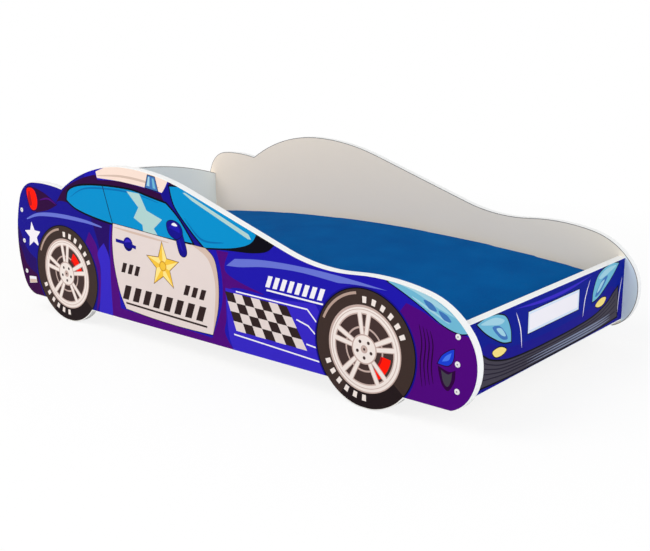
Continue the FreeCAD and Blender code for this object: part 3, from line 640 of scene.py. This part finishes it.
def paintWheel(art, x, caliper):
    z = 132

    def rings(*rows):
        for colour, radius in rows:
            art.paint(colour, disc(x, z, radius))

    rings(("bodyDark", 136), ("line", 132.5), ("tyre", 130))
    art.paint("tyreLight", sector(x, z, 118, 124, 100, 156))
    art.paint("tyreShade", sector(x, z, 95, 130, 240, 322))
    for start in (22, 202):  # short plain dashes round the tyre
        for step in range(6):
            art.paint("rim", sector(x, z, 101, 115, start + 13 * step, start + 13 * step + 5.5))
    rings(("rimShade", 96))
    art.paint("rim", disc(x + 1, z - 1, 92))
    rings(("rimShade", 87), ("rim", 85.5), ("rimShade", 79), ("rimGap", 76), ("rimShade", 50),
        ("rimGap", 46))
    art.paint("red", sector(x, z, 44, 70, caliper - 26, caliper + 26))
    art.paint("redShade", sector(x, z, 44, 49, caliper - 26, caliper + 26))
    for arm in range(5):
        for lean in (-9, 9):
            turn = math.radians(90 + 72 * arm + lean)
            square = Vector((-math.sin(turn), math.cos(turn)))
            foot, tip = Vector(spun(x, z, 22, turn)), Vector(spun(x, z, 79, turn))
            for colour, half in (("rimShade", 5.6), ("rim", 3.8)):
                near, far = square * half, square * (half + 1)
                spots = (foot - near, tip - far, tip + far, foot + near)
                art.paint(colour, [tuple(spot) for spot in spots])
    rings(("rimShade", 33), ("rim", 30))
    for arm in range(5):
        art.paint("rimGap", disc(*spun(x, z, 19, math.radians(54 + 72 * arm)), 3.8, 1.2))
    art.paint("rimShade", disc(x, z, 9, 2))
    art.paint("rimGap", disc(x, z, 3, 1))


def paintNose(art):
    art.patch("violet", (586, 252, 1), (630, 240), (668, 222), (712, 212, 1), (770, 206, 1), (790, 60),
        (720, -20, 1), (560, 0, 1), (566, 226, 1))
    for step in range(4):  # slots behind the front wheel, each a thin wave
        x = 622 + 9 * step
        art.line("maroon", 3.4, 0.7, (x - 4, 214 - 3 * step), (x + 3, 176), (x, 130),
            (x + 5, 84 + 4 * step))
    art.edgedPatch("lamp", "line", 2.6, (540, 289, 1), (566, 295), (612, 290), (664, 272), (706, 250),
        (738, 218, 1), (712, 213), (672, 224), (622, 252), (572, 276))
    art.patch("lampLight", (560, 290, 1), (610, 286), (662, 267), (704, 242, 1), (660, 256), (610, 277))
    art.line("lampLight", 5, 0.8, (600, 268), (640, 250), (690, 228))
    art.patch("lampDeep", (628, 266), (648, 262), (660, 248), (642, 250))
    art.patch("lampDeep", (664, 250), (684, 244), (694, 232), (676, 234))
    art.patch("maroon", (664, 138, 1), (690, 130), (706, 136, 1), (704, 112), (690, 90), (676, 98),
        (668, 118))
    art.patch("grille", (672, 130, 1), (688, 124), (698, 130, 1), (696, 112), (688, 98), (678, 106))
    art.edgedPatch("leaf", "maroon", 2, (664, 142, 1), (674, 160), (692, 174), (702, 178, 1), (700, 156),
        (688, 142))
    art.patch("leafLight", (674, 148, 1), (682, 160), (696, 170, 1), (690, 154))


def sidePicture():
    art = Picture(moved(faceOutline("side_panel_right", 1, -panelSide * mm), -0.5), "body")
    paintRear(art)
    paintFlank(art)
    paintGlass(art)
    paintDoor(art)
    paintMirror(art)
    paintNose(art)
    paintWheel(art, -541, 34)
    paintWheel(art, 479, -34)
    for x, levels in capSpots.values():
        for level in levels:
            art.paint("hole", disc(x, level, 6.4, 1.2))
    return art


# The print on the footboard's outer face, in millimetres across and up
def footPicture():
    art = Picture(moved(faceOutline("footboard", 0, footFace * mm), -0.5), "footBlue")
    art.patch("bodyDark", (-360, 130, 1), (-280, 168), (-200, 140), (0, 130), (200, 140), (280, 168),
        (360, 130, 1), (360, 60, 1), (-360, 60, 1))
    art.patch("bodyLight", (-180, 218, 1), (-60, 212), (60, 212), (180, 218, 1), (60, 205), (-60, 205))
    grille = [(-322, 158, 1), (-296, 146), (-262, 128), (-196, 112), (-100, 106), (0, 105), (100, 106),
        (196, 112), (262, 128), (296, 146), (322, 158, 1), (326, 82, 1), (160, 75), (-160, 75),
        (-326, 82, 1)]
    art.edgedPatch("grille", "line", 4, *grille)
    for row in range(4):  # long bent gaps across the grille
        bar = [(-313, 143 - 15 * row), (-266, 121 - 10 * row), (-190, 105 - 7 * row), (0, 99 - 6.4 * row),
            (190, 105 - 7 * row), (266, 121 - 10 * row), (313, 143 - 15 * row)]
        art.line("grilleLine", 3.0, 0.3, *bar)
    for low in (78.5, 85, 91.4):
        art.line("grilleShine", 4.2, 1.0, (-120, low), (60, low - 0.6), (210, low + 1.4), (290, low + 7))
    lamp = [(-320, 219, 1), (-284, 225), (-244, 222, 1), (-210, 209), (-190, 178), (-186, 150, 1),
        (-222, 158), (-282, 190)]
    upper = [(-306, 216), (-256, 218), (-216, 204), (-230, 198), (-272, 206)]
    deep = [(-262, 198), (-236, 196), (-214, 180), (-200, 160), (-226, 166)]
    lower = [(-246, 192), (-226, 188), (-208, 168), (-226, 174)]
    fog = [(-258, 146), (-230, 149), (-204, 138), (-220, 130), (-246, 132)]
    for way in (-1, 1):  # the lamps of both sides
        def flipped(points):
            return [(-way * x, z, *corner) for x, z, *corner in points]

        art.edgedPatch("lamp", "line", 3, *flipped(lamp))
        art.patch("lampLight", *flipped(upper))
        art.patch("lampDeep", *flipped(deep))
        art.patch("lampLight", *flipped(lower))
        art.edgedPatch("fog", "line", 2.4, *flipped(fog))
        art.line("white", 3.2, 0.9, (way * 168, 208), (way * 148, 168), (way * 140, 124))
        art.line("white", 2.8, 0.9, (way * 344, 180), (way * 332, 134), (way * 328, 92))
    art.edged("plate", "line", 2.0, [(-116, 197), (116, 197), (116, 149), (-116, 149)])
    art.paint("white", [(-110, 191), (110, 191), (110, 155), (-110, 155)])
    return art


def printFilms():
    look = {"proud": 0.2 * mm, "thickness": 0.15 * mm}
    side = sidePicture()
    boardFace, panelFace = footFace * mm + look["proud"], panelSide * mm + look["proud"]
    films = [
        side.film("sidePrintRight", lambda x, z: (x * mm, -panelFace, z * mm)),
        side.film("sidePrintLeft", lambda x, z: (x * mm, panelFace, z * mm)),
        footPicture().film("footPrint", lambda y, z: (boardFace, y * mm, z * mm)),
    ]
    films[1].data.flip_normals()
    for film in films:
        backed = film.modifiers.new("backing", "SOLIDIFY")
        backed.thickness, backed.offset = look["thickness"], -1
        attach(film, "frame")
        print(film.name, len(film.data.polygons), "faces")


printFilms()


# The mattress in its sewn cover
def arcHeight(x, look):  # the crown along the length: an arc through both ends and the middle
    half, rise = look["length"] / 2, look["middle"] - look["ends"]
    radius = (half * half + rise * rise) / (2 * rise)
    return look["middle"] - radius + math.sqrt(radius * radius - (x - look["centre"]) ** 2)


def mattressSection(x, look):  # one closed cross-section, square to the length
    half, bend = look["length"] / 2, look["round"]
    near = max(0.0, abs(x - look["centre"]) - (half - bend))
    pulled = bend - math.sqrt(max(0.0, bend ** 2 - near ** 2))
    wide = look["width"] / 2 - look["waist"] * (1 - ((x - look["centre"]) / half) ** 2) - pulled
    low, high = look["bottom"] + pulled, look["bottom"] + arcHeight(x, look) - pulled
    corner = max(look["tightest"], bend - pulled)
    loop = []
    quarters = ((1, high, -1, 0), (-1, high, -1, 90), (-1, low, 1, 180), (1, low, 1, 270))
    for side, level, inwards, start in quarters:
        for step in range(7):
            turn = math.radians(start + 15 * step)
            loop.append((x, *spun(side * (wide - corner), level + inwards * corner, corner, turn)))
    return loop


def mattressForm(look):  # sections that stand closer together towards both ends
    turns = [math.pi * (index / look["sections"] - 0.5) for index in range(look["sections"] + 1)]
    places = [look["centre"] + look["length"] / 2 * math.sin(turn) for turn in turns]
    return skin("mattress", [mattressSection(x, look) for x in places])


def swollen(piece, look):  # filled from inside as a soft pad is, no point further than the cap
    remesh = piece.modifiers.new("remesh", "REMESH")
    remesh.mode, remesh.voxel_size = "VOXEL", look["voxel"]
    mesh = applied(piece)
    start = [vertex.co.copy() for vertex in mesh.vertices]
    cloth = piece.modifiers.new("cloth", "CLOTH")
    cloth.settings.use_pressure = True
    cloth.settings.uniform_pressure_force = look["pressure"]
    cloth.settings.effector_weights.gravity = 0
    cloth.settings.quality = 4
    cloth.collision_settings.use_self_collision = False
    cloth.point_cache.frame_start, cloth.point_cache.frame_end = 1, look["frames"]
    for moment in range(1, look["frames"] + 1):
        bpy.context.scene.frame_set(moment)
    mesh = applied(piece)
    for vertex, before in zip(mesh.vertices, start):
        step = vertex.co - before
        if step.length > look["cap"]:
            vertex.co = before + step * (look["cap"] / step.length)
    bpy.context.scene.frame_set(1)


def mattressPad(look):
    pad = meshPiece("mattress", mattressForm(look), "cover")
    swollen(pad, look)
    finer = pad.modifiers.new("finer", "SUBSURF")
    finer.levels = finer.render_levels = 1
    faced(applied(pad), "cover")
    rounded(pad.data)
    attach(pad, "mattress")
    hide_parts("mattress_cover", "mattress_core")
    return pad


def seamPath(surface, look, top):  # round the mattress, where its top or bottom meets its side
    half, wide, bend = look["length"] / 2, look["width"] / 2, look["seamBend"]
    corners = []
    for x, y, start in ((half - bend, wide - bend, 0), (bend - half, wide - bend, 90),
            (bend - half, bend - wide, 180), (half - bend, bend - wide, 270)):
        corners += [spun(x, y, bend, math.radians(start + 18 * step)) for step in range(6)]
    path = []
    for here, there in zip(corners, corners[1:] + corners[:1]):
        count = max(1, int(math.dist(here, there) / look["seamStep"]))
        for step in range(count):
            x, y = (here[axis] + (there[axis] - here[axis]) * step / count for axis in (0, 1))
            x += look["centre"]
            height = arcHeight(x, look) if top else 0.0
            path.append(surface.find_nearest(Vector((x, y, look["bottom"] + height)))[0])
    return path


# Geometry-node growers
class Grower(Graph):  # a node tree whose result becomes a plain mesh
    def __init__(self, name, finish, **sizes):
        self.name, self.finish, self.sizes = name, finish, sizes
        super().__init__(bpy.data.node_groups.new(name, "GeometryNodeTree"))
        self.opened("Geometry", "INPUT", "Geometry")
        self.sockets = {size: self.opened(size, "INPUT", "Int" if isinstance(value, int) else "Float")
            for size, value in sizes.items()}
        self.opened("Geometry", "OUTPUT", "Geometry")
        self.entry = self.tree.nodes.new("NodeGroupInput")
        self.exit = self.tree.nodes.new("NodeGroupOutput")

    def opened(self, name, way, kind):  # a new socket of the tree, by its identifier
        return self.tree.interface.new_socket(name, in_out=way, socket_type="NodeSocket" + kind).identifier

    def given(self, size="Geometry"):
        return Wire(self, self.entry.outputs[size])

    def spaced(self):  # the path that it is given, with points at even steps
        return self.node("GeometryNodeResampleCurve", {"mode": "LENGTH"},
            {"Curve": self.given(), "Length": self.given("Spacing")})

    def turned(self, way):  # the rotation that lays a shape's Z axis along the way
        return self.node("FunctionNodeAlignRotationToVector", {"axis": "Z"}, {"Vector": way})

    def grow(self, result, base):  # runs the tree on the base and keeps what it makes
        real = self.node("GeometryNodeRealizeInstances", {}, (result,))
        dressed = self.node("GeometryNodeSetMaterial", {}, {"Geometry": real,
            "Material": finishes[self.finish]})
        self.tree.links.new(dressed.socket, self.exit.inputs[0])
        bpy.context.collection.objects.link(base)
        growth = base.modifiers.new("growth", "NODES")
        growth.node_group = self.tree
        for size, value in self.sizes.items():
            growth[self.sockets[size]] = value
        mesh = evaluated(base)
        base.modifiers.clear()
        bpy.data.objects.remove(base)
        rounded(mesh)
        return meshPiece(self.name, mesh, self.finish)


def pipingRound(name, path):
    sizes = {"Thickness": 0.0021, "Spacing": 0.006, "Sides": 10}
    grower = Grower(name, "piping", **sizes)
    circle = grower.node("GeometryNodeCurvePrimitiveCircle", {}, {"Resolution": grower.given("Sides"),
        "Radius": grower.given("Thickness")})
    tube = grower.node("GeometryNodeCurveToMesh", {}, {"Curve": grower.spaced(), "Profile Curve": circle})
    return grower.grow(tube, pathCurve(name + "Path", path, True))


def stitchesRound(name, path):
    sizes = {"Spacing": 0.0062, "Stitch": 0.0038, "Thickness": 0.00045, "Sides": 6}
    grower = Grower(name, "thread", **sizes)
    thread = grower.node("GeometryNodeMeshCylinder", {}, {"Vertices": grower.given("Sides"),
        "Radius": grower.given("Thickness"), "Depth": grower.given("Stitch")})
    turn = grower.turned(grower.node("GeometryNodeInputTangent"))
    placed = grower.node("GeometryNodeInstanceOnPoints", {}, {"Points": grower.spaced(), "Instance": thread,
        "Rotation": turn})
    return grower.grow(placed, pathCurve(name + "Path", path, True))


def mattress():
    look = {"length": 1.392, "width": 0.692, "bottom": 0.1145, "centre": -0.008, "ends": 0.0625,
        "middle": 0.1085, "waist": 0.003, "round": 0.013, "tightest": 0.002, "sections": 72,
        "voxel": 0.0105, "pressure": 4, "frames": 20, "cap": 0.0026, "seamBend": 0.012, "seamStep": 0.02,
        "stitchesIn": 0.008}
    pad = mattressPad(look)
    surface = BVHTree.FromObject(pad, bpy.context.evaluated_depsgraph_get())
    for level, inwards in (("top", -look["stitchesIn"]), ("bottom", look["stitchesIn"])):
        edge = seamPath(surface, look, level == "top")
        inner = [surface.find_nearest(point + Vector((0, 0, inwards)))[0] for point in edge]
        for piece in (pipingRound("piping_" + level, edge), stitchesRound("stitches_" + level, inner)):
            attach(piece, "mattress")
    print("mattress", len(pad.data.polygons), "faces")


mattress()


# Small hardware
def lathe(name, profile, sides=24):  # a closed turned form about its own Z axis
    rings = []
    for radius, height in profile:
        count = sides if radius else 1
        rings.append([(*spun(0, 0, radius, 2 * math.pi * step / sides), height) for step in range(count)])
    return bpy.data.objects.new(name, skin(name, rings))


def scattered(name, finish, shape, spots):
    # the shape at each spot, its Z axis turned the way that the spot gives
    mesh = bpy.data.meshes.new(name + "Spots")
    mesh.from_pydata([place for place, _ in spots], [], [])
    facing = mesh.attributes.new("facing", "FLOAT_VECTOR", "POINT")
    facing.data.foreach_set("vector", [value for _, way in spots for value in way])
    grower = Grower(name, finish, Size=1.0)
    source = grower.node("GeometryNodeObjectInfo", {"transform_space": "ORIGINAL"}, {"Object": shape},
        output="Geometry")
    way = grower.node("GeometryNodeInputNamedAttribute", {"data_type": "FLOAT_VECTOR"}, {"Name": "facing"})
    size = grower.node("ShaderNodeCombineXYZ", {}, (grower.given("Size"),) * 3)
    placed = grower.node("GeometryNodeInstanceOnPoints", {}, {"Points": grower.given(), "Instance": source,
        "Rotation": grower.turned(way), "Scale": size})
    piece = grower.grow(placed, bpy.data.objects.new(name + "Spots", mesh))
    bpy.data.objects.remove(shape)
    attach(piece, "frame")
    return piece


def screwCaps(side, way):
    look = {"radius": 6.0 * mm, "height": 1.3 * mm, "dimple": 1.7 * mm}
    r, h, d = look["radius"], look["height"], look["dimple"]
    profile = [(0, 0), (r, 0), (r, 0.35 * h), (0.93 * r, 0.66 * h), (0.7 * r, 0.9 * h), (1.35 * d, h),
        (d, 0.92 * h), (0.85 * d, 0.45 * h), (0, 0.4 * h)]
    spots = [((x * mm, way * panelSide * mm, level * mm), (0, way, 0)) for x, levels in capSpots.values()
        for level in levels]
    shape = lathe("capShape", profile)
    hollow = shape.data.attributes.new("hollow", "FLOAT", "POINT")
    inside = [float(vertex.co.xy.length < 1.02 * d) for vertex in shape.data.vertices]
    hollow.data.foreach_set("value", inside)
    piece = scattered("cover_caps_" + side, "cap", shape, spots)
    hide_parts("screw_caps_" + side)


def railScrews(side, way):
    look = {"head": 4.2 * mm, "height": 1.6 * mm, "count": 6, "firstX": -0.66, "lastX": 0.644, "y": 0.335,
        "z": 0.08}
    r, h = look["head"], look["height"]
    profile = [(0, 0), (r, 0), (r, 0.2 * h), (0.9 * r, 0.62 * h), (0.6 * r, 0.93 * h), (0.42 * r, h),
        (0.3 * r, 0.55 * h), (0, 0.4 * h)]
    pitch = (look["lastX"] - look["firstX"]) / (look["count"] - 1)
    spots = [((look["firstX"] + pitch * index, way * look["y"], look["z"]), (0, -way, 0))
        for index in range(look["count"])]
    scattered("rail_screws_" + side, "steel", lathe("screwShape", profile, 18), spots)


def stapleShape():  # a crown of wire whose two legs go up into the wood
    look = {"half": 5.5 * mm, "wire": 0.6 * mm, "leg": 1.6 * mm, "bend": 0.5 * mm}
    half, leg, bend = look["half"], look["leg"], look["bend"]
    path = [(-half, 0, leg), (-half, 0, bend), (bend - half, 0, 0), (half - bend, 0, 0), (half, 0, bend),
        (half, 0, leg)]
    wire = pathCurve("stapleWire", path, False)
    wire.data.bevel_depth, wire.data.bevel_resolution, wire.data.use_fill_caps = look["wire"], 1, True
    bpy.context.collection.objects.link(wire)
    mesh = evaluated(wire)
    bpy.data.objects.remove(wire)
    return bpy.data.objects.new("stapleShape", mesh)


def staples(side, way):
    look = {"first": -668.5 * mm, "pitch": 132.1 * mm, "count": 11, "y": 0.245, "z": 98.7 * mm,
        "apart": 9 * mm}
    spots = [((look["first"] + look["pitch"] * index + ahead, way * look["y"], look["z"]), (0, 0, 1))
        for index in range(look["count"]) for ahead in (-look["apart"], look["apart"])]
    scattered("strap_staples_" + side, "steel", stapleShape(), spots)


for side, way in (("right", -1), ("left", 1)):
    screwCaps(side, way)
    railScrews(side, way)
    staples(side, way)
print("small hardware")


# Light, floor and camera
def studioAir(look):  # white where the camera, a reflection or glass looks at it, and plainer as light
    world = bpy.data.worlds.new("studioAir")
    bpy.context.scene.world = world
    world.use_nodes = True
    world.node_tree.nodes.clear()
    air = Graph(world.node_tree)
    kinds = ("Is Camera Ray", "Is Glossy Ray", "Is Transmission Ray")
    rays = [air.node("ShaderNodeLightPath", output=kind) for kind in kinds]
    seen = (rays[0] + rays[1] + rays[2]).clamped()
    strength = seen + (1 - seen) * look["worldLight"]
    glow = air.node("ShaderNodeBackground", {}, {"Color": (1, 1, 1, 1), "Strength": strength})
    end = world.node_tree.nodes.new("ShaderNodeOutputWorld")
    world.node_tree.links.new(glow.socket, end.inputs[0])


def studioFloor(look):  # plaster that keeps the shadow, and pales into white paper further out
    plaster = Finish("floorPlaster")
    cloud = plaster.noise(3, 2)
    plaster.feed("Base Color", plaster.blend(cloud, look["floorColour"], ink(250, 250, 250)))
    plaster.feed("Roughness", 0.75 + 0.2 * cloud)
    plaster.relief(plaster.noise(80, 3), 0.0003, 0.15)
    stretched = plaster.scaled(1, 1.2, 1)
    spread = plaster.node("ShaderNodeVectorMath", {"operation": "LENGTH"}, (stretched,), "Value")
    far = ((spread - look["paperFrom"]) / look["paperOver"]).clamped()
    seen = plaster.node("ShaderNodeLightPath", output="Is Camera Ray")
    paper = plaster.node("ShaderNodeEmission", {}, {"Color": (1, 1, 1, 1), "Strength": 1.0})
    share = seen * (look["paperShare"] + (1 - look["paperShare"]) * far)
    board = Wire(plaster, plaster.surface.outputs[0])
    mixed = plaster.node("ShaderNodeMixShader", {}, (share, board, paper))
    plaster.tree.links.new(mixed.socket, plaster.tree.nodes["Material Output"].inputs[0])
    finishes["floor"] = plaster.material
    half = look["floorSize"] / 2
    mesh = bpy.data.meshes.new("floor")
    mesh.from_pydata([(-half, -half, 0), (half, -half, 0), (half, half, 0), (-half, half, 0)], [],
        [(0, 1, 2, 3)])
    meshPiece("floor", mesh, "floor")


def studio():
    look = {"worldLight": 0.53, "floorSize": 28.0, "floorColour": ink(246, 246, 247), "paperShare": 0.84,
        "paperFrom": 0.9, "paperOver": 1.6, "aim": (0, 0, 0.2)}
    lamps = {"key": {"place": (-1.4, -3.2, 3.4), "power": 122, "size": 3.2, "tint": (1.0, 0.975, 0.94)},
        "fill": {"place": (4.2, -0.6, 2.0), "power": 78, "size": 3.0, "tint": (0.94, 0.97, 1.0)}}
    bpy.context.scene.view_settings.view_transform = "Standard"
    studioAir(look)
    for name, lamp in lamps.items():
        light = bpy.data.lights.new(name + "Lamp", "AREA")
        light.energy, light.size, light.color = lamp["power"], lamp["size"], lamp["tint"]
        holder = bpy.data.objects.new(name + "Lamp", light)
        holder.location = lamp["place"]
        way = Vector(look["aim"]) - Vector(lamp["place"])
        holder.rotation_euler = way.to_track_quat("-Z", "Y").to_euler()
        bpy.context.collection.objects.link(holder)
    studioFloor(look)


def camera():
    view = {"place": (1.74412, -1.97762, 0.82647), "right": (0.774329, 0.632758, -0.005608),
        "up": (-0.156306, 0.199850, 0.967279), "lens": 57.095, "shift": (-0.03109, 0.00061), "reach": 60}
    lens = bpy.data.cameras.new("camera")
    lens.lens, lens.sensor_width, lens.clip_end = view["lens"], 36.0, view["reach"]
    lens.shift_x, lens.shift_y = view["shift"]
    right, up = Vector(view["right"]), Vector(view["up"])
    turn = Matrix((right, up, right.cross(up))).transposed().to_4x4()
    holder = bpy.data.objects.new("camera", lens)
    holder.matrix_world = Matrix.Translation(view["place"]) @ turn
    bpy.context.collection.objects.link(holder)
    bpy.context.scene.camera = holder


studio()
camera()
print("light, floor and camera")
